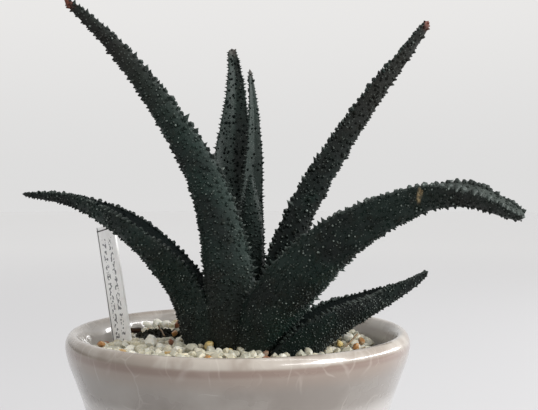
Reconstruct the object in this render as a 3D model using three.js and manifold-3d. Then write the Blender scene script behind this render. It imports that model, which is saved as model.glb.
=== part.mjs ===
// A potted haworthia hybrid: warty, channelled leaves in a glazed pot dressed with quartz grit.
// Millimetres, +Z up. The origin is the middle of the pot's flat base.
import * as THREE from 'three';
import { mergeVertices } from 'three/addons/utils/BufferGeometryUtils.js';
import Module from 'manifold-3d';

const wasm = await Module();
wasm.setup();

// Driving dimensions
const clearance = 0.35; // air between pieces that touch
const potHeight = 88;
const lipRadius = 52.5;
const footRadius = 34;
const wallThickness = 4.5;
const floorThickness = 5;
const potSides = 48;
const drainHole = { count: 3, radius: 3, ringRadius: 17, sides: 12 };
// The wall runs from the foot to the neck, where the flare of the lip starts.
const neck = { height: 66, spread: 12.8, hollow: 0.8 };
// The lip's outline, as distances in from its radius and down from the top.
const lipOutline = [
  [3.75, 15.4], [2.4, 11.7], [1.3, 9], [0, 3.8], [0.9, 1.2], [2.3, 0],
  [4.1, 0.6], [5, 3.2], [5.9, 9],
];

const soilSides = 32;
const grit = { top: 83, bottom: 76.5, radius: 45.4, rings: 15, roughness: 0.9, scatter: 0.25 };
// Low heaps and dips of the grit, as somebody left it.
const mounds = [
  { x: -4, y: -16, radius: 24, height: 1.6 },
  { x: 36, y: 3, radius: 11, height: 2 },
  { x: -26, y: 36, radius: 16, height: 1.4 },
  { x: -41, y: 14, radius: 15, height: -1.6 },
];

// The stock stands under the leaves: waist and tip are its radii below and above.
const stock = { x: 3.5, y: 0, radius: 5.5, waist: 3.9, tip: 3.3, bottom: 58, shoulder: 80, top: 88 };
const crown = { x: 3.5, y: -3, radius: 13, soilRadius: 21, soilDepth: 6, sides: 24 };
const rootPlan = { count: 7, reach: 23, bottom: 16, thick: 1.8, thin: 1, sides: 6, rings: 7 };

// A leaf's section, as shares of half its width, but for the margin in millimetres.
const section = { trough: 0.38, keel: 0.72, roundness: 0.62, margin: 0.5 };
const wart = { smallest: 0.6, largest: 1.25, bareBase: 0.05, fullBase: 0.25 };

const label = { width: 8.6, thickness: 0.8, length: 72, pointLength: 9, turn: -39, lean: 11 };
const labelFoot = { x: -37.9, y: 10.2, buried: 35 };

const barkChip = { size: [4, 2.4, 1.5], at: [-35.6, 22.5, 83.6], turn: 12 };
const straws = [
  { name: 'straw_left', from: [-27, 16.5, 86.2], to: [-24, 8.6, 84] },
  { name: 'straw_right', from: [37, 2, 86], to: [32, -8, 83.7] },
];
const strawWidth = 0.7;

// Each leaf: points along its middle from the base to the tip, and the way its channelled
// face looks at its base, middle and tip. Half its width is body * cbrt(x) + flare * x ** 1.3,
// where x goes from 1 at the base to 0 at the tip, and is held to widest.
// The list runs from the oldest, outermost leaf to the youngest.
const leafPlans = [
  {
    name: 'leaf_right_low',
    spine: [[14, -4.5, 79], [24, -6, 88.8], [40, -1, 96.3], [51.5, 2, 100.5], [59.5, 4, 105]],
    faces: [[-0.75, -0.15, 0.6], [-0.3, -0.15, 0.95], [0, -0.1, 1]],
    body: 4.6, flare: 10, widest: 10, sides: 15, rings: 28,
  },
  {
    name: 'leaf_left_low',
    spine: [[-7.2, -4, 79], [-15.2, -5.5, 100.8], [-30.5, -1, 117.2], [-50.5, 3, 127.4], [-68.8, 6, 129.5]],
    faces: [[0.9, 0, 0.4], [0.42, -0.17, 0.9], [0, -0.1, 1]],
    body: 4, flare: 9.4, widest: 9.9, sides: 15, rings: 38,
  },
  {
    name: 'leaf_old_left',
    spine: [[-8.5, 6, 80], [-18.5, 11.5, 81.2], [-28.5, 15.5, 82.8], [-39.5, 17.5, 80.4]],
    faces: [[0, 0, 1], [0, -0.1, 1], [0, 0, 1]],
    body: 3.4, flare: 1.5, widest: 5, sides: 9, rings: 18,
  },
  {
    name: 'leaf_back_low',
    spine: [[1.5, 11, 80], [-0.5, 21, 92], [-3.5, 33, 102], [-5.5, 46, 107]],
    faces: [[0, -0.9, 0.4], [0, -0.5, 0.85], [0, -0.1, 1]],
    body: 5, flare: 4, widest: 8.5, sides: 12, rings: 26,
  },
  {
    name: 'leaf_back_right',
    spine: [[11, 9, 80], [14.5, 19, 87], [16.5, 29, 92], [17, 37, 93.5]],
    faces: [[-0.5, -0.7, 0.4], [-0.3, -0.4, 0.85], [-0.1, -0.1, 1]],
    body: 4.6, flare: 4, widest: 8, sides: 12, rings: 22,
  },
  {
    name: 'leaf_right_arching',
    spine: [
      [3, -11, 79], [14, -20, 100.5], [33.7, -33, 119.4], [51, -44, 129.8],
      [64, -50.5, 129.2], [73, -54, 123.7],
    ],
    faces: [[-0.1, 0.95, 0.3], [-0.35, 0.65, 0.68], [0.1, -0.4, 0.9]],
    body: 8.4, flare: 3.2, widest: 10.3, sides: 15, rings: 44,
  },
  {
    name: 'leaf_left_tall',
    spine: [
      [1, -6, 80], [-3, -11, 106], [-9, -17, 131], [-22.3, -24, 155.3],
      [-36.2, -29, 173], [-46.4, -32, 182.5],
    ],
    faces: [[0.3, 0.95, 0.2], [0.55, 0.7, 0.45], [0.6, 0.6, 0.5]],
    body: 4.4, flare: 6.2, widest: 10, sides: 15, rings: 47,
  },
  {
    name: 'leaf_right_tall',
    spine: [[8.5, 1, 80], [12.4, -1, 104.5], [20.5, -3, 125.7], [39.3, -4, 157], [58, -4, 182.2]],
    faces: [[-0.9, 0.4, 0.3], [-0.7, 0.5, 0.5], [-0.75, 0, 0.65]],
    body: 5.4, flare: 2.2, widest: 8, sides: 15, rings: 46,
  },
  {
    name: 'leaf_back_tall',
    spine: [[0.5, 5, 80], [-1.5, 10, 111], [-2.5, 18, 140.5], [-1.9, 25, 165.5], [-3.3, 29, 179.2]],
    faces: [[0.1, -1, 0.2], [0.1, -0.95, 0.3], [0.15, -0.95, 0.3]],
    body: 4.9, flare: 3, widest: 7.5, sides: 12, rings: 39,
  },
  {
    name: 'leaf_inner',
    spine: [[5.7, 4, 81], [4.3, 6, 112], [5.5, 12, 143], [4.6, 15.5, 158], [3, 18, 170.7]],
    faces: [[-0.3, -0.95, 0.1], [-0.3, -0.95, 0.1], [-0.2, -0.95, 0.2]],
    body: 1.6, flare: 3.2, widest: 5, sides: 9, rings: 34,
  },
  {
    name: 'leaf_heart',
    spine: [[3.5, 0, 86], [5, 0, 110], [4, -1, 135]],
    faces: [[-0.6, 0.8, 0.2], [-0.6, 0.8, 0.2], [-0.6, 0.8, 0.2]],
    body: 4.1, flare: 1, widest: 5, sides: 9, rings: 20,
  },
];

const finishes = {
  pot: { color: 0xbfb3ae, roughness: 0.25, metalness: 0 },
  soil: { color: 0x3a2e26, roughness: 0.95, metalness: 0 },
  grit: { color: 0xd6d3c5, roughness: 0.45, metalness: 0 },
  root: { color: 0xb49a78, roughness: 0.8, metalness: 0 },
  leaf: { color: 0x2c3833, roughness: 0.55, metalness: 0 },
  label: { color: 0xe9e9e6, roughness: 0.5, metalness: 0 },
  bark: { color: 0x3b2418, roughness: 0.9, metalness: 0 },
  straw: { color: 0xb08a4e, roughness: 0.7, metalness: 0 },
};

// A repeatable stream of random numbers from 0 to 1.
function seededRandom(seed) {
  let state = seed;
  return () => {
    state = (state + 0x6d2b79f5) | 0;
    let mixed = Math.imul(state ^ (state >>> 15), 1 | state);
    mixed = (mixed + Math.imul(mixed ^ (mixed >>> 7), 61 | mixed)) ^ mixed;
    return ((mixed ^ (mixed >>> 14)) >>> 0) / 4294967296;
  };
}

function smoothstep(from, to, value) {
  return THREE.MathUtils.smoothstep(value, from, to);
}

// Solids, joined and cut

function toSolid(geometry) {
  const plain = geometry.clone();
  plain.deleteAttribute('normal');
  plain.deleteAttribute('uv');
  const merged = mergeVertices(plain);
  const corners = [];
  for (let i = 0; i < merged.index.count; i += 3) {
    const [a, b, c] = [0, 1, 2].map((k) => merged.index.getX(i + k));
    if (a !== b && b !== c && c !== a) corners.push(a, b, c);
  }
  return new wasm.Manifold(new wasm.Mesh({
    numProp: 3,
    vertProperties: new Float32Array(merged.attributes.position.array),
    triVerts: new Uint32Array(corners),
  }));
}

function toGeometry(solid) {
  const mesh = solid.getMesh();
  const geometry = new THREE.BufferGeometry();
  geometry.setAttribute('position', new THREE.BufferAttribute(mesh.vertProperties, 3));
  geometry.setIndex(new THREE.BufferAttribute(mesh.triVerts, 1));
  return geometry;
}

function cut(solid, tools) {
  return tools.reduce((left, tool) => left.subtract(tool), solid);
}

function largestBody(solid) {
  const bodies = solid.decompose();
  return bodies.reduce((best, body) => (body.volume() > best.volume() ? body : best));
}

// Surfaces

// Joins rings of points into a closed skin. Every second ring is turned by half a step,
// so the skin is an even lattice of triangles.
function skinOver(rings, start, end) {
  const sides = rings[0].length;
  const points = [...rings.flat(), start, end];
  const startIndex = points.length - 2;
  const endIndex = points.length - 1;
  const corners = [];
  for (let k = 0; k < rings.length - 1; k += 1) {
    const turned = k % 2;
    for (let j = 0; j < sides; j += 1) {
      const here = k * sides + j;
      const next = k * sides + ((j + 1) % sides);
      const above = (k + 1) * sides + j;
      const aboveNext = (k + 1) * sides + ((j + 1) % sides);
      if (turned) corners.push(here, next, aboveNext, here, aboveNext, above);
      else corners.push(here, next, above, next, aboveNext, above);
    }
  }
  const last = (rings.length - 1) * sides;
  for (let j = 0; j < sides; j += 1) {
    corners.push(startIndex, (j + 1) % sides, j);
    corners.push(endIndex, last + j, last + ((j + 1) % sides));
  }
  const geometry = new THREE.BufferGeometry().setFromPoints(points);
  geometry.setIndex(corners);
  return geometry;
}

function lathe(profile, sides) {
  const points = profile.map(([radius, height]) => new THREE.Vector2(radius, height));
  return new THREE.LatheGeometry(points, sides).rotateX(Math.PI / 2);
}

// Leaves

function halfWidth(plan, along) {
  const x = 1 - along;
  const raw = plan.body * Math.cbrt(x) + plan.flare * x ** 1.3;
  return raw / (1 + (raw / plan.widest) ** 6) ** (1 / 6);
}

// A leaf's section: raised margins, a shallow channel above and a keeled back below.
function leafSection(half, angle) {
  const across = Math.cos(angle);
  const up = Math.sin(angle);
  const channel = section.trough * half * across ** 2;
  const back = THREE.MathUtils.lerp(1 - Math.abs(across), Math.abs(up), section.roundness);
  const height = up > 0 ? section.margin * up : -section.keel * half * back;
  return new THREE.Vector2(half * across, channel + height);
}

// Moves the corners of a closed outline, so that its edges lie further out.
function growOutline(outline, grown) {
  return outline.map((corner, j) => {
    const before = corner.clone().sub(outline.at(j - 1));
    const after = outline[(j + 1) % outline.length].clone().sub(corner);
    const [first, second] = [before, after].map((edge) => (
      new THREE.Vector2(edge.y, -edge.x).normalize()
    ));
    const share = Math.max(1 + first.dot(second), 0.4);
    return first.add(second).multiplyScalar(grown / share).add(corner);
  });
}

function leafGeometry(plan, seed, grown) {
  const random = seededRandom(seed);
  const curve = new THREE.CatmullRomCurve3(plan.spine.map((p) => new THREE.Vector3(...p)));
  const facing = new THREE.CatmullRomCurve3(plan.faces.map((p) => new THREE.Vector3(...p)));
  const step = 0.01;
  const rings = [];
  for (let k = 0; k < plan.rings; k += 1) {
    const along = k / plan.rings;
    const centre = curve.getPointAt(along);
    const tangent = curve.getTangentAt(along);
    if (k === 0) centre.addScaledVector(tangent, -grown);
    const face = facing.getPoint(along).projectOnPlane(tangent).normalize();
    const side = new THREE.Vector3().crossVectors(face, tangent);
    const half = halfWidth(plan, along);
    const fade = smoothstep(wart.bareBase, wart.fullBase, along) * Math.min(1, half / 3);
    const outline = [];
    for (let j = 0; j < plan.sides; j += 1) {
      const angle = (2 * Math.PI * (j + (k % 2) / 2)) / plan.sides;
      const spot = leafSection(half, angle);
      const behind = leafSection(half, angle - step);
      const outward = leafSection(half, angle + step).sub(behind).normalize();
      outward.set(outward.y, -outward.x);
      const size = THREE.MathUtils.lerp(wart.smallest, wart.largest, random());
      const raised = (j - Math.floor(k / 2) - k + 3 * plan.rings) % 3 === 0;
      if (raised) spot.addScaledVector(outward, size * fade);
      outline.push(spot);
    }
    rings.push(growOutline(outline, grown).map((spot) => (
      centre.clone().addScaledVector(side, spot.x).addScaledVector(face, spot.y)
    )));
  }
  const start = curve.getPointAt(0).addScaledVector(curve.getTangentAt(0), -grown);
  const end = curve.getPointAt(1).addScaledVector(curve.getTangentAt(1), grown);
  return skinOver(rings, start, end);
}

// Stock and roots

function stockGeometry(grown) {
  const { radius, waist, tip, bottom, shoulder, top } = stock;
  const profile = [
    [0, bottom - grown], [waist + grown, bottom - grown], [radius + grown, bottom + 4],
    [radius + grown, shoulder], [tip + grown, top - 3], [0, top + grown],
  ];
  return lathe(profile, 16).translate(stock.x, stock.y, 0);
}

function rootGeometry(index, grown) {
  const random = seededRandom(900 + index);
  const turn = (2 * Math.PI * (index + 0.4 * random())) / rootPlan.count;
  const reach = rootPlan.reach * (0.75 + 0.25 * random());
  const drop = stock.bottom - rootPlan.bottom;
  const waypoints = [[0.02, 6], [0.35, -2], [0.8, -0.35 * drop], [1, -0.7 * drop], [0.9, -drop]];
  const curve = new THREE.CatmullRomCurve3(waypoints.map(([out, height], step) => {
    const bend = turn + 0.25 * (random() - 0.5) * step;
    return new THREE.Vector3(
      stock.x + reach * out * Math.cos(bend),
      stock.y + reach * out * Math.sin(bend),
      stock.bottom + height,
    );
  }));
  const rings = [];
  for (let k = 0; k < rootPlan.rings; k += 1) {
    const along = k / rootPlan.rings;
    const centre = curve.getPointAt(along);
    const tangent = curve.getTangentAt(along);
    if (k === 0) centre.addScaledVector(tangent, -grown);
    const face = new THREE.Vector3(Math.cos(turn), Math.sin(turn), 0.3);
    face.projectOnPlane(tangent).normalize();
    const side = new THREE.Vector3().crossVectors(face, tangent);
    const radius = THREE.MathUtils.lerp(rootPlan.thick, rootPlan.thin, along) + grown;
    const ring = [];
    for (let j = 0; j < rootPlan.sides; j += 1) {
      const angle = (2 * Math.PI * (j + (k % 2) / 2)) / rootPlan.sides;
      const spot = centre.clone().addScaledVector(side, radius * Math.cos(angle));
      ring.push(spot.addScaledVector(face, radius * Math.sin(angle)));
    }
    rings.push(ring);
  }
  const start = curve.getPointAt(0).addScaledVector(curve.getTangentAt(0), -grown);
  const end = curve.getPointAt(1).addScaledVector(curve.getTangentAt(1), grown);
  return skinOver(rings, start, end);
}

function rootSystem(grown) {
  let whole = toSolid(stockGeometry(grown));
  for (let index = 0; index < rootPlan.count; index += 1) {
    whole = whole.add(toSolid(rootGeometry(index, grown)));
  }
  return whole;
}

// Pot, soil and grit

// A round, plain hole for the leaf bases, open at the top.
function crownHole(radius, bottom) {
  const height = potHeight - bottom;
  const hole = new THREE.CylinderGeometry(radius, radius, height, crown.sides);
  hole.rotateX(Math.PI / 2);
  return toSolid(hole.translate(crown.x, crown.y, bottom + height / 2));
}

// The pot's outer radius at a height up to the neck: a wall that leans out, a touch hollow.
function outerRadius(height) {
  const rise = height / neck.height;
  return footRadius + neck.spread * rise + neck.hollow * rise * (rise - 1);
}

function innerRadius(height) {
  return outerRadius(height) - wallThickness;
}

function potSolid() {
  const wall = [0, 0.5, 1].map((share) => [outerRadius(share * neck.height), share * neck.height]);
  const lip = lipOutline.map(([inset, drop]) => [lipRadius - inset, potHeight - drop]);
  const inside = [1, 0.4].map((share) => [innerRadius(share * neck.height), share * neck.height]);
  const profile = [
    [0, 0], ...wall, ...lip, ...inside,
    [footRadius - floorThickness, floorThickness], [0, floorThickness],
  ];
  const { count, radius, ringRadius, sides } = drainHole;
  const holes = Array.from({ length: count }, (_, index) => {
    const turn = (2 * Math.PI * (index + 0.25)) / count;
    const hole = new THREE.CylinderGeometry(radius, radius, 4 * floorThickness, sides);
    hole.rotateX(Math.PI / 2);
    return toSolid(hole.translate(ringRadius * Math.cos(turn), ringRadius * Math.sin(turn), 0));
  });
  return cut(toSolid(lathe(profile, potSides)), holes);
}

function soilSolid(tools) {
  const gap = clearance + 0.15;
  const bottom = floorThickness + clearance;
  const top = grit.bottom - clearance;
  const wall = [0.4, 1].map((share) => (
    [innerRadius(share * neck.height) - gap, share * neck.height]
  ));
  const profile = [
    [0, bottom], [footRadius - floorThickness - gap, bottom],
    ...wall, [grit.radius - gap, top], [0, top],
  ];
  return largestBody(cut(toSolid(lathe(profile, soilSides)), tools));
}

function gritLevel(x, y) {
  return mounds.reduce((level, { x: mx, y: my, radius, height }) => {
    const off = Math.hypot(x - mx, y - my) / radius;
    return level + height * Math.exp(-2 * off * off);
  }, grit.top);
}

// A round bed of grains: rings of six more points each, every point at its own height.
function gritGeometry() {
  const random = seededRandom(41);
  const points = [new THREE.Vector3(0, 0, grit.top)];
  const corners = [];
  for (let ring = 1; ring <= grit.rings; ring += 1) {
    const radius = (grit.radius * ring) / grit.rings;
    for (let j = 0; j < 6 * ring; j += 1) {
      const turn = (2 * Math.PI * j) / (6 * ring);
      const spot = new THREE.Vector3(radius * Math.cos(turn), radius * Math.sin(turn), 0);
      spot.z = gritLevel(spot.x, spot.y) + grit.roughness * (2 * random() - 1);
      if (ring < grit.rings) {
        spot.x += grit.scatter * (2 * random() - 1);
        spot.y += grit.scatter * (2 * random() - 1);
      }
      points.push(spot);
    }
  }
  const at = (ring, j) => {
    if (ring === 0) return 0;
    return 1 + 3 * ring * (ring - 1) + (j % (6 * ring));
  };
  for (let ring = 1; ring <= grit.rings; ring += 1) {
    for (let sector = 0; sector < 6; sector += 1) {
      for (let j = 0; j < ring; j += 1) {
        const outer = sector * ring + j;
        const inner = sector * (ring - 1) + j;
        corners.push(at(ring - 1, inner), at(ring, outer), at(ring, outer + 1));
        if (j < ring - 1) {
          corners.push(at(ring - 1, inner), at(ring, outer + 1), at(ring - 1, inner + 1));
        }
      }
    }
  }
  const rim = 6 * grit.rings;
  const below = points.length;
  for (let j = 0; j < rim; j += 1) {
    const edge = points[at(grit.rings, j)];
    points.push(new THREE.Vector3(edge.x, edge.y, grit.bottom));
  }
  const middle = points.length;
  points.push(new THREE.Vector3(0, 0, grit.bottom));
  for (let j = 0; j < rim; j += 1) {
    const next = (j + 1) % rim;
    corners.push(below + j, below + next, at(grit.rings, j));
    corners.push(below + next, at(grit.rings, next), at(grit.rings, j));
    corners.push(middle, below + next, below + j);
  }
  const geometry = new THREE.BufferGeometry().setFromPoints(points);
  geometry.setIndex(corners);
  return geometry;
}

// Label and litter

function labelGeometry(grown) {
  const half = label.width / 2 + grown;
  const outline = new THREE.Shape();
  outline.moveTo(0, -grown);
  outline.lineTo(half, label.pointLength);
  outline.lineTo(half, label.length + grown);
  outline.lineTo(-half, label.length + grown);
  outline.lineTo(-half, label.pointLength);
  outline.closePath();
  const depth = label.thickness + 2 * grown;
  const geometry = new THREE.ExtrudeGeometry(outline, { depth, bevelEnabled: false });
  geometry.translate(0, -labelFoot.buried, -depth / 2);
  geometry.rotateZ(THREE.MathUtils.degToRad(label.lean));
  geometry.rotateX(Math.PI / 2);
  geometry.rotateZ(THREE.MathUtils.degToRad(label.turn));
  return geometry.translate(labelFoot.x, labelFoot.y, grit.top);
}

function barkGeometry(grown) {
  const [long, wide, high] = barkChip.size.map((edge) => edge + 2 * grown);
  const geometry = new THREE.BoxGeometry(long, wide, high);
  geometry.rotateZ(THREE.MathUtils.degToRad(barkChip.turn));
  return geometry.translate(...barkChip.at);
}

function strawGeometry(straw, grown) {
  const from = new THREE.Vector3(...straw.from);
  const along = new THREE.Vector3(...straw.to).sub(from);
  const wide = strawWidth + 2 * grown;
  const geometry = new THREE.BoxGeometry(along.length() + 2 * grown, wide, wide);
  geometry.translate(along.length() / 2, 0, 0);
  const xAxis = new THREE.Vector3(1, 0, 0);
  const turn = new THREE.Quaternion().setFromUnitVectors(xAxis, along.normalize());
  return geometry.applyQuaternion(turn).translate(from.x, from.y, from.z);
}

// Assembly

const plant = new THREE.Group();

function addPiece(name, geometry, finish) {
  const piece = new THREE.Mesh(geometry, new THREE.MeshStandardMaterial(finishes[finish]));
  piece.name = name;
  plant.add(piece);
}

const labelTool = toSolid(labelGeometry(clearance));
const stockTool = toSolid(stockGeometry(clearance));
const leafTools = leafPlans.map((plan, index) => (
  toSolid(leafGeometry(plan, index + 1, clearance))
));
const litterTools = [
  toSolid(barkGeometry(clearance)),
  ...straws.map((straw) => toSolid(strawGeometry(straw, clearance))),
];

addPiece('pot', toGeometry(potSolid()), 'pot');
const soilHole = crownHole(crown.soilRadius, grit.bottom - clearance - crown.soilDepth);
const soil = soilSolid([soilHole, rootSystem(2 * clearance), labelTool]);
addPiece('soil', toGeometry(soil), 'soil');
const gritHole = crownHole(crown.radius, grit.bottom - 1);
const bed = cut(toSolid(gritGeometry()), [gritHole, ...leafTools, labelTool, ...litterTools]);
addPiece('grit', toGeometry(largestBody(bed)), 'grit');
addPiece('root_stock', toGeometry(rootSystem(0)), 'root');
leafPlans.forEach((plan, index) => {
  const whole = toSolid(leafGeometry(plan, index + 1, 0));
  const trimmed = cut(whole, [stockTool, ...leafTools.slice(0, index)]);
  addPiece(plan.name, toGeometry(largestBody(trimmed)), 'leaf');
});
addPiece('plant_label', labelGeometry(0), 'label');
addPiece('bark_chip', barkGeometry(0), 'bark');
straws.forEach((straw) => addPiece(straw.name, strawGeometry(straw, 0), 'straw'));

export default plant;
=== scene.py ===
import math
import random

import bmesh
import bpy
from mathutils import Matrix, Vector, noise
from mathutils.bvhtree import BVHTree


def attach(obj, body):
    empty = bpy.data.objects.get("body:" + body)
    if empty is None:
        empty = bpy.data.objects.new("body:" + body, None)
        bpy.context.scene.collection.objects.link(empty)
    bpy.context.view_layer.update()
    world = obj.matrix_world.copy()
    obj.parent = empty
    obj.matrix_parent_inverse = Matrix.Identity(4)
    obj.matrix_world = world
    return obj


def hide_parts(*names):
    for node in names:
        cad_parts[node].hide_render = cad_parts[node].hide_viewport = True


# A potted haworthia hybrid: dark warty leaves, a crackle glazed pot and quartz grit.
# Sizes are in millimetres in the dictionaries and become metres where a shape is made.

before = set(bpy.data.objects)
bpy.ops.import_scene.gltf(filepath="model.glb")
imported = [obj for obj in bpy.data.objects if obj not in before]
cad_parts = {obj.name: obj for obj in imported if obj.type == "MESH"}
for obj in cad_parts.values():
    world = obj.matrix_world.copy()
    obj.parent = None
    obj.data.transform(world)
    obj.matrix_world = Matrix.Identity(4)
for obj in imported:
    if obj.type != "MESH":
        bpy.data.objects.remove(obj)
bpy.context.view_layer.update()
mm = 0.001


# Shader maths: a wire is an output that can be added, multiplied and so on
class Wire:
    def __init__(self, look, socket):
        self.look = look
        self.socket = socket

    def sum(self, operation, *values):
        return self.look.node("Math", {"operation": operation}, dict(enumerate(values)))

    def __add__(self, other):
        return self.sum("ADD", self, other)

    def __sub__(self, other):
        return self.sum("SUBTRACT", self, other)

    def __rsub__(self, other):
        return self.sum("SUBTRACT", other, self)

    def __mul__(self, other):
        return self.sum("MULTIPLY", self, other)

    def most(self, other):
        return self.sum("MAXIMUM", self, other)

    def size(self):
        return self.sum("ABSOLUTE", self)

    def ease(self, low, high, start=0.0, end=1.0):  # from start at low to end at high
        settings = {"interpolation_type": "SMOOTHSTEP"}
        return self.look.node("MapRange", settings, {0: self, 1: low, 2: high, 3: start, 4: end})

    __radd__ = __add__
    __rmul__ = __mul__


# The nodes of a material or of the world
class Nodes:
    def __init__(self, tree):
        self.tree = tree

    def node(self, kind, settings, sockets, output=0):
        made = self.tree.nodes.new("ShaderNode" + kind)
        for name, value in settings.items():
            if name == "stops":
                self.setStops(made.color_ramp, value)
            else:
                setattr(made, name, value)
        for name, value in sockets.items():
            self.feed(made.inputs[name], value)
        return Wire(self, made.outputs[output])

    def setStops(self, ramp, stops):
        while len(ramp.elements) < len(stops):
            ramp.elements.new(0.5)
        for element, (place, colour) in zip(ramp.elements, stops):
            element.position = place
            element.color = (*colour, 1)

    def feed(self, socket, value):
        if isinstance(value, Wire):
            self.tree.links.new(value.socket, socket)
        elif isinstance(value, tuple) and socket.type == "RGBA" and len(value) == 3:
            socket.default_value = (*value, 1)
        else:
            socket.default_value = value

    def place(self):
        return self.node("TexCoord", {}, {}, "Object")

    def uv(self):
        return self.node("TexCoord", {}, {}, "UV")

    def stretch(self, vector, scale):
        return self.node("Mapping", {}, {"Vector": vector, "Scale": scale})

    def axis(self, vector, name):
        return self.node("SeparateXYZ", {}, {0: vector}, name)

    def noise(self, vector, scale, detail=3.0):
        sockets = {"Vector": vector, "Scale": scale, "Detail": detail, "Roughness": 0.55}
        return self.node("TexNoise", {}, sockets)

    # The same noise as a colour, to bend a pattern with.
    def swirl(self, vector, scale):
        return self.node("TexNoise", {}, {"Vector": vector, "Scale": scale, "Detail": 2.0}, "Color")

    # How far a place is from the upright axis.
    def reach(self, vector):
        flat = self.node("VectorMath", {"operation": "MULTIPLY"}, {0: vector, 1: (1, 1, 0)})
        return self.node("VectorMath", {"operation": "LENGTH"}, {0: flat}, 1)

    def cells(self, vector, scale, feature="F1"):
        return self.node("TexVoronoi", {"feature": feature}, {"Vector": vector, "Scale": scale})

    def attribute(self, name):
        return self.node("Attribute", {"attribute_name": name}, {}, "Fac")

    def ramp(self, value, stops):
        return self.node("ValToRGB", {"stops": stops}, {0: value})

    def mix(self, share, first, second):
        return self.node("Mix", {"data_type": "RGBA"}, {0: share, 6: first, 7: second}, 2)

    def bump(self, height, distance, strength=1.0, under=None):
        sockets = {"Height": height, "Distance": distance, "Strength": strength}
        if under:
            sockets["Normal"] = under
        return self.node("Bump", {}, sockets)


# A material, with the values of its shader that are the same all over
class Look(Nodes):
    def __init__(self, name, fixed):
        self.material = bpy.data.materials.new(name)
        self.material.use_nodes = True
        super().__init__(self.material.node_tree)
        self.shader = self.tree.nodes["Principled BSDF"]
        for socket, value in fixed.items():
            self.shader.inputs[socket].default_value = value

    def set(self, socket, value):
        self.feed(self.shader.inputs[socket], value)


# Pieces

# A piece's node in the frame, leafOldLeft's being leaf_old_left.
def nodeOf(name):
    return "".join("_" + letter.lower() if letter.isupper() else letter for letter in name)


def makePiece(name, mesh, look, slot, *replaced):
    piece = bpy.data.objects.new(name, mesh)
    bpy.context.scene.collection.objects.link(piece)
    mesh.materials.append(look.material)
    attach(piece, "root")
    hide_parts(*replaced)
    return piece


def toMesh(bm, name, smooth=True):
    for face in bm.faces:
        face.smooth = smooth
    mesh = bpy.data.meshes.new(name)
    bm.to_mesh(mesh)
    bm.free()
    return mesh


def ringEdges(ring):
    members = set(ring)
    return [e for e in {e for v in ring for e in v.link_edges} if members.issuperset(e.verts)]


def extrudeRing(bm, ring):
    grown = bmesh.ops.extrude_edge_only(bm, edges=ringEdges(ring))["geom"]
    return [g for g in grown if isinstance(g, bmesh.types.BMVert)]


# Adds a copy of a small mesh at each place, with the attributes that come with the place.
def scatter(bm, template, places):
    for matrix, values in places:
        copy = template.copy()
        copy.transform(matrix)
        first = len(bm.verts)
        bm.from_mesh(copy)
        bpy.data.meshes.remove(copy)
        bm.verts.ensure_lookup_table()
        for name, value in values.items():
            layer = bm.verts.layers.float[name]
            for vert in bm.verts[first:]:
                vert[layer] = value * vert[layer] if name == "pale" else value


# Leaves

leafForm = {
    "sides": 44,
    "ringStep": 1.0,
    "trough": 0.38,  # shares of half the width
    "keel": 0.72,
    "roundness": 0.62,
    "margin": 0.5,
    "lump": 0.35,
    "lumpPitch": 5.5,
}

wartForm = {
    "sides": 6,
    "rings": [(1.3, -0.25), (0.85, 0.22), (0.42, 0.8)],
    "toothRings": [(1.35, -0.4), (0.72, 0.15), (0.26, 0.7)],
    "pitches": [0.85, 1.42, 1.3],  # near the foot, in the middle and at the tip
    "foot": 45,
    "end": 26,
    "width": 0.56,  # half of it, as a share of the pitch, is the wart's radius
    "firstRow": 4, "lastRow": 0.8,  # distances from the foot and from the tip
    "jitter": 0.42, "rowShare": 0.87,  # shares of the pitch
    "channelEdge": 0.03,
    "firstTooth": 6, "lastTooth": 1,
    "height": 0.42,
    "lean": 0.3,
    "toothPitch": 1.7,
    "toothRadius": 0.52,
    "toothHeight": 1.15,
    "gritLevel": 82.5,
}

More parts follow.
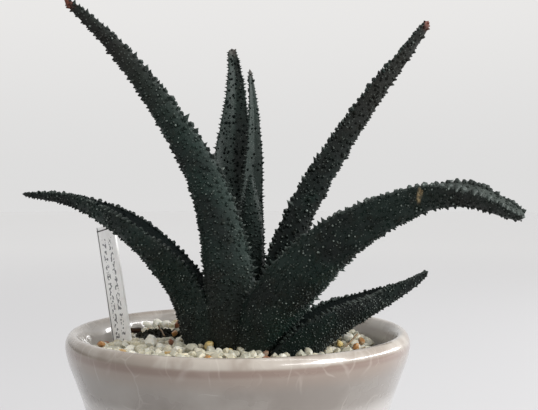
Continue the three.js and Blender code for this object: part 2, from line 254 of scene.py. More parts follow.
# A leaf runs along its spine, from the foot to the tip, and its channelled face looks along
# faces. Half its width is body * x ** blunt + flare * x ** 1.3, held to widest, where x goes
# from 1 at the foot to 0 at the tip; fold says how sharp the channel is. The looks:
# paintedShading  painted light on each half of the channel, and painted shade below nothing
# lit      where on the back a flank of painted light starts and is full, and how much light is painted; below nothing it is painted shade
# edge     how pale the margins are; plainFoot takes that away near the foot
# frost    how white the warts are, and channelWartShading the painted light on the warts in the channel, painted shade below nothing
# coarse   the size of the warts, and sparse the share left out of the channel
# teeth    the size of the margins' teeth and of the gaps between them
# bronze   stretches that turn brown: where each starts, where it is full, and how brown
# tip      how dry the tip is, or red below nothing; scar is a place and a size
leafPlans = {
    "leafRightLow": {
        "spine": [(13.1, -10.8, 79.6), (21.6, -10, 88.9), (40.4, -0.2, 96.4), (52.4, 1.5, 101.3),
                  (59.5, 4, 105)],
        "faces": [(-0.6, 0.13, 0.74), (-0.33, -0.04, 0.95), (-0.14, 0.29, 0.93)],
        "body": 4.3, "flare": 11.3, "widest": 11, "paintedShading": (-1, -1), "frost": 2.4, "edge": 0.9,
        "teeth": (0.95, 0.7), "lit": (1, 0.98, -0.5), "tip": 0.3, "sparse": 0.9, "coarse": 0.88,
    },
    "leafLeftLow": {
        "spine": [(-6.5, -4.2, 77.9), (-15.2, -0.1, 101.3), (-30.9, -4.5, 118.2), (-51.7, 4.3, 127.7),
                  (-68.8, 6, 129.5)],
        "faces": [(0.9, 0.15, 0.37), (0.43, -0.09, 0.91), (0.02, 0.14, 0.99)],
        "body": 3.8, "flare": 12, "widest": 11.6, "blunt": 0.36, "paintedShading": (-1, -1), "edge": 0.5,
        "teeth": (1.05, 0.95), "lit": (0.84, 1, 0.35), "tip": 0.3, "sparse": 0.92,
        "bronze": [(0.3, 0, 0.25)],
    },
    "leafOldLeft": {
        "spine": [(-8.5, 6, 77), (-18.5, 11.5, 80.6), (-27.5, 15, 82.7), (-39.5, 17.5, 80.2)],
        "faces": [(0, -0.5, 1), (0, -0.5, 1), (0, -0.3, 1)],
        "body": 3.4, "flare": 1.5, "widest": 5, "frost": 1.6, "teeth": (1.2, 0.8),
    },
    "leafBackLow": {
        "spine": [(1.5, 11, 80), (-0.5, 21, 92), (-3.5, 33, 102), (-5.5, 46, 107)],
        "faces": [(0, -0.9, 0.4), (0, -0.5, 0.85), (0, -0.1, 1)],
        "body": 5, "flare": 4, "widest": 8.5,
    },
    "leafBackRight": {
        "spine": [(11, 9, 80), (14.5, 19, 87), (16.5, 29, 92), (17, 37, 93.5)],
        "faces": [(-0.5, -0.7, 0.4), (-0.3, -0.4, 0.85), (-0.1, -0.1, 1)],
        "body": 4.6, "flare": 4, "widest": 8,
    },
    "leafRightArching": {
        "spine": [(3, -12, 79.2), (15, -20, 100.8), (33.5, -31.1, 119.4), (52, -44, 129.8),
                  (61, -51.4, 129.2), (73, -54, 123.7)],
        "faces": [(-0.09, 0.95, 0.29), (-0.09, 0.89, 0.46), (-0.18, 0.23, 0.85), (0.1, -0.4, 0.9)],
        "body": 8.4, "flare": 3.2, "widest": 9.4, "blunt": 0.312, "paintedShading": (1.9, 1.9), "edge": 1.3,
        "plainFoot": 0.75, "teeth": (1.4, 1.2), "tip": 0.15, "scar": (48, -46, 130.4, 1.1),
        "channelWartShading": 1.6, "lit": (0.62, 0.42, 0.3), "bronze": [(0.12, 0, 0.3), (0.6, 0.85, 0.4)],
    },
    "leafLeftTall": {
        "spine": [(-1.5, -10.5, 80), (-3.8, -12.8, 106), (-9, -17.5, 131), (-22.3, -24, 155.3),
                  (-36.2, -29, 173), (-46.4, -32, 182.5)],
        "faces": [(0.3, 0.95, 0.2), (0.55, 0.7, 0.45), (0.6, 0.6, 0.5)],
        "body": 4.4, "flare": 6.2, "widest": 10, "lit": (0.8, 0.97, 0.7),
        "bronze": [(0.3, 0.1, 0.4), (0.55, 0.85, 0.75)], "coarse": 1.12, "frost": 0.75,
        "teeth": (1.35, 1.2), "tip": -1,
    },
    "leafRightTall": {
        "spine": [(8.5, 1, 80), (12.4, -1, 104.5), (20.5, -3, 125.7), (39.3, -4, 157), (58, -4, 182.2)],
        "faces": [(-0.9, 0.4, 0.3), (-0.7, 0.5, 0.5), (-0.75, 0, 0.65)],
        "body": 5.4, "flare": 2.2, "widest": 8, "blunt": 0.27, "coarse": 1.2, "frost": 0.9,
        "lit": (0.9, 1, 0.6), "bronze": [(0.5, 0.75, 0.75)], "teeth": (1.25, 1.2), "tip": -1,
    },
    "leafBackTall": {
        "spine": [(0.5, 5, 80), (-1.5, 10, 111), (-2.5, 18, 140.5), (-1.9, 25, 165.5), (-3.3, 29, 179.2)],
        "faces": [(0.1, -1, 0.2), (0.1, -0.95, 0.3), (0.15, -0.95, 0.3)],
        "body": 2, "flare": 15.5, "widest": 7.8, "blunt": 0.1, "fold": 1.35,
        "paintedShading": (0.8, 0.2), "coarse": 1, "teeth": (0.85, 1), "channelWartShading": -0.6,
    },
    "leafInner": {
        "spine": [(5.7, 4, 81), (2.9, 6, 112), (4.3, 12, 143), (4.1, 15.5, 158), (3, 18, 170.7)],
        "faces": [(0.4, -0.9, 0.1), (0.4, -0.9, 0.1), (0.4, -0.87, 0.2)],
        "body": 2.1, "flare": 5.6, "widest": 5.4, "fold": 1.1, "paintedShading": (0.9, 0.5), "coarse": 0.9,
        "sparse": 0.75, "teeth": (0.7, 0.9), "channelWartShading": -0.6,
    },
    "leafHeart": {
        "spine": [(3.5, -0.5, 86), (5, -0.5, 110), (3.7, -1.5, 135.8)],
        "faces": [(-0.6, 0.8, 0.2), (-0.6, 0.8, 0.2), (-0.6, 0.8, 0.2)],
        "body": 2, "flare": 18, "widest": 4, "paintedShading": (0.5, 0.5), "lit": (0.38, 0.48, 0.6), "tip": 0.1,
        "bronze": [(0, 1, 0)], "edge": 1.1, "teeth": (1.1, 1), "frost": 0.5,
    },
}


def held(value):
    return min(max(value, 0), 1)


# A smooth curve through points, its speed set by the root of each gap; share runs from 0 to 1.
def throughPoints(points, share):
    last = len(points) - 1
    step = min(int(share * last), last - 1)
    rest = share * last - step
    start, end = points[step], points[step + 1]
    before = points[step - 1] if step else start * 2 - end
    after = points[step + 2] if step + 2 <= last else end * 2 - start
    first, middle, final = [
        math.sqrt((q - p).length) or 1 for p, q in ((before, start), (start, end), (end, after))
    ]
    leave = (start - before) / first - (end - before) / (first + middle) + (end - start) / middle
    arrive = (end - start) / middle - (after - start) / (middle + final) + (after - end) / final
    leave, arrive = leave * middle, arrive * middle
    square = 3 * (end - start) - 2 * leave - arrive
    cube = 2 * (start - end) + leave + arrive
    return start + rest * (leave + rest * (square + rest * cube))


# A leaf's section at an angle round it: raised margins, a channel above and a keeled back.
def sectionSpot(half, angle, fold=2):
    across = math.cos(angle)
    up = math.sin(angle)
    channel = leafForm["trough"] * half * abs(across) ** (fold if up > 0 else 2)
    back = leafForm["roundness"] * abs(up) + (1 - leafForm["roundness"]) * (1 - abs(across))
    height = leafForm["margin"] * up if up > 0 else -leafForm["keel"] * half * back
    return Vector((half * across, channel + height))


# The angles that share the outline of a middling section into equal steps.
def evenAngles(steps=360, half=7):
    spots = [sectionSpot(half, 2 * math.pi * k / steps) for k in range(steps + 1)]
    lengths = [(b - a).length for a, b in zip(spots, spots[1:])]
    whole = sum(lengths)
    angles = []
    passed = 0
    for k, length in enumerate(lengths):
        while len(angles) < steps and len(angles) * whole / steps <= passed + length:
            share = (len(angles) * whole / steps - passed) / length
            angles.append(2 * math.pi * (k + share) / steps)
        passed += length
    return angles, whole / half


outlineAngles, outlineLength = evenAngles()
# The share of the outline that is the channel; the rest is the back.
inFront = next(k for k, angle in enumerate(outlineAngles) if angle > math.pi)
channelShare = inFront / len(outlineAngles)


def outlineAngle(turn):
    place = (turn % 1) * len(outlineAngles)
    low = int(place) % len(outlineAngles)
    high = outlineAngles[low + 1] if low + 1 < len(outlineAngles) else 2 * math.pi
    return outlineAngles[low] + (place - int(place)) * (high - outlineAngles[low])


class LeafShape:
    def __init__(self, plan):
        self.plan = plan
        self.spine = [Vector(p) for p in plan["spine"]]
        self.faces = [Vector(p) for p in plan["faces"]]
        self.shares = [k / 200 for k in range(201)]
        spots = [throughPoints(self.spine, share) for share in self.shares]
        self.reached = [0]
        for a, b in zip(spots, spots[1:]):
            self.reached.append(self.reached[-1] + (b - a).length)
        self.length = self.reached[-1]
        self.seed = Vector((self.length, self.spine[-1].x, self.spine[-1].z))

    def share(self, along):
        target = held(along) * self.length
        last = len(self.reached) - 1
        high = next((k for k, r in enumerate(self.reached) if r >= target and k), last)
        low = high - 1
        part = (target - self.reached[low]) / (self.reached[high] - self.reached[low])
        return self.shares[low] + part * (self.shares[high] - self.shares[low])

    def axes(self, along):
        share = self.share(along)
        centre = throughPoints(self.spine, share)
        ahead = throughPoints(self.spine, min(share + 0.001, 1))
        behind = throughPoints(self.spine, max(share - 0.001, 0))
        tangent = (ahead - behind).normalized()
        face = throughPoints(self.faces, held(along))
        face = (face - face.dot(tangent) * tangent).normalized()
        return centre, face.cross(tangent), face

    # Painted light and shade on the skin: each half of the channel gets its own, and some leaves a lit
    # flank on the back.
    def paintedShading(self, turn):
        if 0 < turn < channelShare:
            return self.plan.get("paintedShading", (0.12, 0.12))[turn > channelShare / 2]
        low, high, most = self.plan.get("lit", (1, 2, 0))
        return most * held((turn - low) / (high - low))

    # How pale the margins are: some fade towards the foot.
    def edge(self, along):
        fade = self.plan.get("plainFoot", 0) * (1 - held((along - 0.35) / 0.25))
        return self.plan.get("edge", 0.6) * (1 - fade)

    # A scar runs round the leaf, narrow and uneven.
    def scar(self, spot):
        *place, size = self.plan.get("scar", (0, 0, 0, 1))
        off = (spot - Vector(place)) * Vector((1.4, 0.35, 0.3))
        return max(0, 1.4 - off.length / size)

    # How dry the tip is: pale above nothing, red below it.
    def tip(self, along):
        return self.plan.get("tip", 0.8) * held((along - 0.95) / 0.05)

    # How brown the skin is, from none at one place to the most at another.
    def bronze(self, along):
        stretches = self.plan.get("bronze", [(0, 1, 0.15)])
        return max(most * held((along - start) / (end - start)) for start, end, most in stretches)

    # How white a wart's tip is: it comes in patches.
    def frost(self, spot, rng):
        patch = 0.75 + 0.9 * noise.noise(spot / 4.5 - self.seed)
        return rng.random() ** 1.4 * max(0.25, patch) * self.plan.get("frost", 1)

    def ahead(self, along):
        before = self.axes(max(along - 0.01, 0))[0]
        return (self.axes(min(along + 0.01, 1))[0] - before).normalized()

    def half(self, along):
        x = 1 - held(along)
        raw = self.plan["body"] * x ** self.plan.get("blunt", 1 / 3) + self.plan["flare"] * x ** 1.3
        return raw / (1 + (raw / self.plan["widest"]) ** 6) ** (1 / 6)

    def at(self, along, turn, axes=None):
        centre, side, face = axes or self.axes(along)
        half = self.half(along)
        spot = sectionSpot(half, outlineAngle(turn), self.plan.get("fold", 2))
        place = centre + side * spot.x + face * spot.y
        outward = (place - centre).normalized()
        lump = noise.noise(place / leafForm["lumpPitch"] + self.seed)
        return place + outward * (leafForm["lump"] * lump * min(1, half / 6))

    def normal(self, along, turn):
        step = 0.5 / self.length
        forth = self.at(min(along + step, 1), turn) - self.at(max(along - step, 0), turn)
        round_ = self.at(along, turn + 0.01) - self.at(along, turn - 0.01)
        return round_.cross(forth).normalized()


def makeWart(rings):
    bm = bmesh.new()
    pale = bm.verts.layers.float.new("pale")
    ring = bmesh.ops.create_circle(
        bm, cap_ends=True, segments=wartForm["sides"], radius=rings[0][0],
    )["verts"]
    bmesh.ops.translate(bm, verts=ring, vec=(0, 0, rings[0][1]))
    for radius, height in rings[1:]:
        ring = extrudeRing(bm, ring)
        for vert in ring:
            flat = Vector(vert.co.xy).normalized() * radius
            vert.co = (*flat, height)
            vert[pale] = float(height > 0.5)
    ring = extrudeRing(bm, ring)
    for vert in ring:
        vert[pale] = 1
    bmesh.ops.pointmerge(bm, verts=ring, merge_co=(0, 0, 1))
    bmesh.ops.recalc_face_normals(bm, faces=bm.faces)
    return toMesh(bm, "wartTemplate")


def wartMatrix(spot, normal, ahead, radius, height, rng):
    up = (normal + ahead * wartForm["lean"]).normalized()
    side = up.cross(ahead).normalized()
    turn = Matrix((side, side.cross(up) * -1, up)).transposed().to_4x4()
    spin = Matrix.Rotation(rng.uniform(0, 2 * math.pi), 4, "Z")
    size = Matrix.Diagonal((radius * mm, radius * mm, height * mm, 1))
    return Matrix.Translation(spot * mm) @ turn @ spin @ size


# The distance between warts at a distance from the leaf's foot.
def wartPitch(shape, distance):
    foot, middle, tip = wartForm["pitches"]
    opening = min(1, distance / wartForm["foot"])
    ending = min(1, (shape.length - distance) / wartForm["end"])
    pitch = foot + (middle - foot) * opening
    return (tip + (pitch - tip) * ending) * shape.plan.get("coarse", 1)


def wartPlaces(shape, rng):
    places = []
    distance = wartForm["firstRow"]
    jitter = wartForm["jitter"]
    border = wartForm["channelEdge"]
    row = 0
    while distance < shape.length - wartForm["lastRow"]:
        along = distance / shape.length
        pitch = wartPitch(shape, distance)
        count = max(4, round(outlineLength * shape.half(along) / pitch))
        for k in range(count):
            turn = ((k + 0.5 * (row % 2) + rng.uniform(-jitter, jitter)) / count) % 1
            here = along + rng.uniform(-jitter, jitter) * pitch / shape.length
            spot = shape.at(here, turn)
            inChannel = border < turn < channelShare - border
            bare = shape.plan.get("sparse", 0.3) if inChannel else 0.1
            if spot.z < wartForm["gritLevel"] or rng.random() < bare:
                continue
            size = rng.triangular(0.45, 1.45, 0.85)
            radius = pitch * wartForm["width"] / 2 * size
            height = pitch * wartForm["height"] * size * rng.uniform(0.8, 1.25)
            ahead = shape.ahead(here)
            matrix = wartMatrix(spot, shape.normal(here, turn), ahead, radius, height, rng)
            # The channel value below gives each wart painted light and shade.
            pale = rng.uniform(0, 0.25) if inChannel else shape.frost(spot, rng)
            values = {"pale": pale, "along": here, "bronze": shape.bronze(here),
                      "scar": shape.scar(spot), "tip": shape.tip(here),
                      "channel": shape.plan.get("channelWartShading", -1.0) if inChannel else shape.paintedShading(turn)}
            places.append((matrix, values))
        distance += pitch * wartForm["rowShare"]
        row += 1
    return places


def toothPlaces(shape, rng):
    places = []
    grown, spread = shape.plan.get("teeth", (1, 1))
    for turn in (0, channelShare):
        distance = wartForm["firstTooth"]
        while distance < shape.length - wartForm["lastTooth"]:
            along = distance / shape.length
            ending = min(1, (shape.length - distance) / wartForm["end"])
            size = grown * (0.65 + 0.35 * ending) * rng.triangular(0.55, 1.45, 0.95)
            spot = shape.at(along, turn)
            if spot.z > wartForm["gritLevel"]:
                _, side, face = shape.axes(along)
                outward = side * (1 if turn == 0 else -1) + face * rng.uniform(-0.6, 0.35)
                matrix = wartMatrix(
                    spot, outward.normalized(), shape.ahead(along), wartForm["toothRadius"] * size,
                    wartForm["toothHeight"] * size, rng,
                )
                values = {"pale": rng.uniform(0, 0.8), "along": along, "channel": 0.0,
                          "rim": 0.6 * shape.edge(along)}
                places.append((matrix, values))
            gap = wartForm["toothPitch"] * spread * (0.6 + 0.4 * ending)
            distance += gap * rng.uniform(0.65, 1.3)
    return places


# The turns of a ring's corners, with a corner on either margin.
def ringTurns():
    above = round(leafForm["sides"] * channelShare)
    below = leafForm["sides"] - above
    return ([channelShare * k / above for k in range(above)]
            + [channelShare + (1 - channelShare) * k / below for k in range(below)])


def leafSkin(shape):
    bm = bmesh.new()
    turn = bm.verts.layers.float.new("turn")
    alongLayer = bm.verts.layers.float.new("along")
    channel = bm.verts.layers.float.new("channel")
    rim = bm.verts.layers.float.new("rim")
    bronze = bm.verts.layers.float.new("bronze")
    scar = bm.verts.layers.float.new("scar")
    bm.verts.layers.float.new("pale")
    tip = bm.verts.layers.float.new("tip")
    ring = bmesh.ops.create_circle(bm, cap_ends=True, segments=leafForm["sides"], radius=1)["verts"]
    for vert, share in zip(ring, ringTurns()):
        vert[turn] = share
    count = round(shape.length / leafForm["ringStep"])
    for step in range(count):
        along = step / count
        axes = shape.axes(along)
        if step:
            ring = extrudeRing(bm, ring)
        for vert in ring:
            vert.co = shape.at(along, vert[turn], axes) * mm
            vert[alongLayer] = along
            # Painted light and shade for this corner of the skin.
            vert[channel] = shape.paintedShading(vert[turn])
            vert[bronze] = shape.bronze(along)
            edge = min(vert[turn], abs(vert[turn] - channelShare), 1 - vert[turn])
            vert[rim] = float(edge < 0.001) * shape.edge(along)
            vert[scar] = shape.scar(vert.co / mm)
            vert[tip] = shape.tip(along)
    ring = extrudeRing(bm, ring)
    bmesh.ops.pointmerge(bm, verts=ring, merge_co=shape.at(1, 0) * mm)
    bmesh.ops.recalc_face_normals(bm, faces=bm.faces)
    bm.normal_update()
    return bm


def makeLeaf(name, plan, look, slot):
    rng = random.Random(name)
    shape = LeafShape(plan)
    bm = leafSkin(shape)
    skin = BVHTree.FromBMesh(bm)
    warts = wartPlaces(shape, rng)
    scatter(bm, wartMesh, warts)
    scatter(bm, toothMesh, toothPlaces(shape, rng))
    print(name, len(warts), "warts")
    makePiece(name, toMesh(bm, name), look, slot, nodeOf(name))
    return skin


def leafLook(name, tones):
    look = Look(name, {"Specular IOR Level": 0.04, "IOR": 1.45, "Coat Roughness": tones["rough"]})
    place = look.place()
    cloud = look.noise(place, 60, 4)
    fleck = look.noise(place, 420, 3)
    fine = look.cells(place, 1700)
    grain = look.cells(place, 1150)
    along = look.attribute("along")
    channel = look.attribute("channel")
    skin = look.mix(cloud.ease(0.38, 0.64), tones["dark"], tones["green"])
    skin = look.mix(fleck.ease(0.5, 0.75, 0, 0.6), skin, tones["brown"])
    # The channel attribute carries painted light: up to 1 it mixes in the painted light tone, from 1 to 2
    # the pale margin tone as a brighter painted highlight.
    skin = look.mix(channel.ease(0, 1, 0, 0.8), skin, tones["channel"])
    skin = look.mix(channel.ease(1, 2, 0, 0.8), skin, tones["rim"])
    skin = look.mix(look.attribute("bronze") * cloud.ease(0.3, 0.6, 0.6, 1), skin, tones["bronze"])
    skin = look.mix(look.attribute("rim") * fleck.ease(0.3, 0.6, 0.5, 0.9), skin, tones["rim"])
    tip = look.attribute("tip")
    skin = look.mix(tip.ease(0, 1), skin, tones["tip"])
    skin = look.mix(tip.ease(-1, -0.3, 1, 0), skin, tones["redTip"])
    skin = look.mix(along.ease(0.0, 0.12, 0.6, 0), skin, tones["base"])
    skin = look.mix(look.attribute("pale").ease(0.1, 1.0, 0, 0.85), skin, tones["wart"])
    scar = look.attribute("scar").ease(0.2, 0.9) * fleck.ease(0.38, 0.56, 0, 0.95)
    skin = look.mix(scar, skin, look.mix(fine, tones["scar"], tones["paleScar"]))
    dots = grain.ease(0.12, 0.3, 1, 0) * fleck.ease(0.35, 0.6)
    skin = look.mix(dots * 0.3, skin, tones["wart"])
    # Below nothing the channel attribute is painted shade: the skin goes dark and its coat thins.
    look.set("Base Color", look.mix(channel.ease(-1, 0, 0.85, 0), skin, tones["paintedShade"]))
    look.set("Roughness", fleck.ease(0.3, 0.7, 0.5, 0.7))
    look.set("Coat Weight", fleck.ease(0.3, 0.7, 1.2, 0.8) * channel.ease(-1, 0) * tones["coat"])
    rough = look.bump(1 - fine - grain, 0.0002, 0.7)
    look.set("Normal", look.bump(fleck, 0.0004, 0.5, rough))
    return look


# In the tones, channel is the colour of painted light and paintedShade the colour of painted shade.
darkLeafTones = {
    "dark": (0.005, 0.008, 0.007), "green": (0.008, 0.019, 0.015), "brown": (0.015, 0.016, 0.012),
    "channel": (0.030, 0.046, 0.040), "rim": (0.080, 0.096, 0.088), "tip": (0.095, 0.082, 0.074),
    "redTip": (0.150, 0.045, 0.028), "bronze": (0.013, 0.011, 0.009), "base": (0.014, 0.016, 0.009),
    "scar": (0.230, 0.130, 0.050), "paleScar": (0.520, 0.420, 0.240),
    "wart": (0.230, 0.265, 0.240), "paintedShade": (0.004, 0.006, 0.006), "coat": 0.3, "rough": 0.45,
}

oldLeafTones = {
    "dark": (0.008, 0.009, 0.006), "green": (0.014, 0.018, 0.010), "brown": (0.050, 0.034, 0.016),
    "channel": (0.020, 0.022, 0.014), "rim": (0.090, 0.085, 0.060), "tip": (0.100, 0.060, 0.030),
    "redTip": (0.150, 0.050, 0.030), "bronze": (0.040, 0.026, 0.014), "base": (0.030, 0.022, 0.012),
    "scar": (0.100, 0.060, 0.030), "paleScar": (0.300, 0.220, 0.120),
    "wart": (0.220, 0.230, 0.180), "paintedShade": (0.008, 0.008, 0.006), "coat": 0.4, "rough": 0.6,
}

wartMesh = makeWart(wartForm["rings"])
toothMesh = makeWart(wartForm["toothRings"])
darkLeaf = leafLook("darkLeaf", darkLeafTones)
oldLeaf = leafLook("oldLeaf", oldLeafTones)
leafSkins = []
for leafName, leafPlan in leafPlans.items():
    isOld = leafName == "leafOldLeft"
    skinTree = makeLeaf(
        leafName, leafPlan, oldLeaf if isOld else darkLeaf, "old_leaf" if isOld else "leaf",
    )
    leafSkins.append(skinTree)
bpy.data.meshes.remove(wartMesh)
bpy.data.meshes.remove(toothMesh)
print("leaves:", len(leafPlans))


# Pot

potForm = {
    "height": 88, "lipRadius": 52.5, "footRadius": 34, "wall": 4.5, "floor": 5,
    "neckHeight": 66, "neckSpread": 12.8, "neckHollow": 0.8,
    "lip": [(3.75, 15.4), (2.4, 11.7), (1.3, 9), (0, 3.8), (0.9, 1.2), (2.3, 0), (4.1, 0.6), (5, 3.2),
            (5.9, 9)],  # in from the lip's radius, down from the top
    "rounding": (0.45, 0.3),  # what the rounding takes off the lip, outward and up
    "steps": 72,
    "holeRadius": 3, "holeRing": 17, "holes": 3,
}


def potRadius(height):
    rise = height / potForm["neckHeight"]
    hollow = potForm["neckHollow"] * rise * (rise - 1)
    return potForm["footRadius"] + potForm["neckSpread"] * rise + hollow


def potProfile():
    neck = potForm["neckHeight"]
    foot = potForm["footRadius"]
    top = potForm["height"]
    wall = [(potRadius(h * neck), h * neck) for h in (0.02, 0.2, 0.4, 0.6, 0.8, 0.95, 1)]
    wide = potForm["lipRadius"] + potForm["rounding"][0]
    high = top + potForm["rounding"][1]
    lip = [(wide - inset, high - drop) for inset, drop in potForm["lip"]]
    inside = [(potRadius(h * neck) - potForm["wall"], h * neck) for h in (1, 0.7, 0.4, 0.12)]
    floor = potForm["floor"]
    start = [(0, 0), (foot * 0.5, 0), (foot - 1.5, 0), (foot - 0.2, 0.15)]
    return start + wall + lip + inside + [(foot - 6, floor + 0.3), (foot * 0.5, floor), (0, floor)]


def bakeModifiers(piece):
    depsgraph = bpy.context.evaluated_depsgraph_get()
    mesh = bpy.data.meshes.new_from_object(piece.evaluated_get(depsgraph))
    piece.modifiers.clear()
    piece.data = mesh


def makePot(look):
    bm = bmesh.new()
    verts = [bm.verts.new((r * mm, 0, z * mm)) for r, z in potProfile()]
    edges = [bm.edges.new(pair) for pair in zip(verts, verts[1:])]
    bmesh.ops.spin(
        bm, geom=verts + edges, axis=(0, 0, 1), cent=(0, 0, 0), angle=2 * math.pi,
        steps=potForm["steps"], use_merge=True,
    )
    bmesh.ops.remove_doubles(bm, verts=bm.verts, dist=0.00001)
    bmesh.ops.recalc_face_normals(bm, faces=bm.faces)
    pot = makePiece("glazedPot", toMesh(bm, "glazedPot"), look, "pot_glaze", "pot")
    round_ = pot.modifiers.new("round", "SUBSURF")
    round_.levels = round_.render_levels = 1
    bakeModifiers(pot)
    drill = bmesh.new()
    for hole in range(potForm["holes"]):
        turn = 2 * math.pi * (hole + 0.25) / potForm["holes"]
        place = Vector((math.cos(turn), math.sin(turn), 0)) * potForm["holeRing"] * mm
        bmesh.ops.create_cone(
            drill, cap_ends=True, segments=24, radius1=potForm["holeRadius"] * mm,
            radius2=potForm["holeRadius"] * mm, depth=0.03, matrix=Matrix.Translation(place),
        )
    cutter = bpy.data.objects.new("drill", toMesh(drill, "drill", False))
    bpy.context.scene.collection.objects.link(cutter)
    cut = pot.modifiers.new("drainHoles", "BOOLEAN")
    cut.operation = "DIFFERENCE"
    cut.object = cutter
    bakeModifiers(pot)
    bpy.data.objects.remove(cutter)
    pot.data.set_sharp_from_angle(angle=math.radians(50))


def glazeLook():
    look = Look("crackleGlaze", {"Coat Roughness": 0.05, "Coat IOR": 1.5, "IOR": 1.5})
    place = look.place()
    height = look.axis(place, "Z") * 1000
    cloud = look.noise(place, 45, 4)
    drift = look.noise(look.stretch(place, (1, 1, 0.35)), 120, 3)
    level = height + (cloud - 0.5) * 1.5
    body = look.mix(cloud.ease(0.35, 0.65), (0.222, 0.194, 0.171), (0.306, 0.279, 0.252))
    side = look.axis(place, "X") * 1000 + (drift - 0.5) * 12
    # Painted shade: the body darkens towards both sides.
    body = look.mix(side.size().ease(10, 46, 0, 0.3), body, (0.160, 0.145, 0.130))
    body = look.mix(level.ease(78, 83, 0, 0.6), body, (0.270, 0.205, 0.165))
    rim = look.mix(drift.ease(0.4, 0.62), (0.290, 0.245, 0.205), (0.400, 0.358, 0.312))
    # Painted shade: the lip darkens and browns towards the left, away from the light.
    rim = look.mix(side.ease(-44, -20, 0.75, 0), rim, (0.215, 0.178, 0.142))
    glaze = look.mix(level.ease(84.6, 86), body, rim)
    flat = look.reach(place) * 1000
    line = level.ease(82.6, 84) * level.ease(84.6, 85.6, 1, 0) * flat.ease(48.5, 50)
    glaze = look.mix(line * 0.55, glaze, (0.170, 0.105, 0.080))
    # Painted light: the inner wall is made paler, most on the left where it faces the light from the
    # right.
    inside = flat.ease(47.5, 49.5, 1, 0) * side.ease(-40, 30, 0.75, 0.5)
    glaze = look.mix(inside, glaze, (0.600, 0.575, 0.550))
    bent = {0: 0.012, 4: place, 5: look.swirl(place, 70)}
    warp = look.node("Mix", {"data_type": "VECTOR"}, bent, 1)
    crack = look.cells(warp, 80, "DISTANCE_TO_EDGE").ease(0.0, 0.03, 1, 0)
    crack = crack * look.noise(place, 95, 2).ease(0.46, 0.6)
    upright = look.stretch(warp, (1, 1, 0.3))
    streak = look.cells(upright, 110, "DISTANCE_TO_EDGE").ease(0.0, 0.04, 1, 0)
    streak = streak * level.ease(80, 84) * look.noise(place, 60, 1).ease(0.42, 0.56)
    lines = (crack * 0.17).most(streak * 0.15)
    glaze = look.mix(lines, glaze, (0.660, 0.620, 0.560))
    speck = look.cells(place, 260).ease(0.03, 0.07, 1, 0) * drift.ease(0.5, 0.6)
    glaze = look.mix(speck * 0.35, glaze, (0.080, 0.060, 0.045))
    look.set("Base Color", glaze)
    look.set("Roughness", cloud.ease(0.3, 0.7, 0.22, 0.34))
    look.set("Coat Weight", drift.ease(0.2, 0.8, 0.75, 0.95))
    wavy = look.bump(look.noise(place, 35, 1), 0.0012, 0.25)
    look.set("Normal", look.bump(1 - lines, 0.00005, 0.3, wavy))
    return look


makePot(glazeLook())
print("pot spun and drilled")


# Potting mix and roots stay as the frame has them, with a finish of their own

def mixLook():
    look = Look("pottingMix", {"Specular IOR Level": 0.2})
    place = look.place()
    chips = look.cells(place, 320)
    cloud = look.noise(place, 180, 5)
    colour = look.mix(cloud.ease(0.35, 0.65), (0.020, 0.012, 0.008), (0.075, 0.048, 0.030))
    look.set("Base Color", look.mix(chips.ease(0.1, 0.3, 0.5, 0), colour, (0.14, 0.10, 0.07)))
    look.set("Roughness", cloud.ease(0.3, 0.7, 0.85, 1.0))
    look.set("Normal", look.bump(chips + cloud, 0.001, 0.8))
    return look


def rootLook():
    look = Look("fleshyRoot", {"Specular IOR Level": 0.3})
    place = look.place()
    fibre = look.noise(look.stretch(place, (1, 1, 0.2)), 700, 3)
    look.set("Base Color", look.mix(fibre.ease(0.35, 0.65), (0.36, 0.25, 0.14), (0.55, 0.43, 0.29)))
    look.set("Roughness", fibre.ease(0.3, 0.7, 0.7, 0.9))
    look.set("Normal", look.bump(fibre, 0.0003, 0.5))
    return look


for node, finish, slot in (("soil", mixLook(), "soil"), ("root_stock", rootLook(), "root")):
    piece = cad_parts[node]
    piece.data.materials.clear()
    piece.data.materials.append(finish.material)
print("potting mix and roots finished")


# Grit

gritForm = {
    "radius": 45.2, "top": 83, "bottom": 76.5, "bedDrop": 1.7,
    "mounds": [(-4, -16, 24, 1.6), (32.5, -1, 8, 1.8), (-26, 36, 16, 1.4), (-41, 14, 15, -1.6),
               (45, 4, 11, -3.4), (28, -17, 9, -1.4)],
    "pitch": 3.0, "smallest": 1.15, "largest": 2.3, "middling": 1.6,
    "facets": 13, "kinds": 11,
    "layers": 2, "layerDepth": 1.5, "jitter": 0.28,
    "bedRings": 14, "bedRing": 3.2,
}

stoneTones = {
    "green": 0.05, "cream": 0.5, "white": 0.8, "yellow": 0.89, "orange": 0.94, "red": 1.0,
}

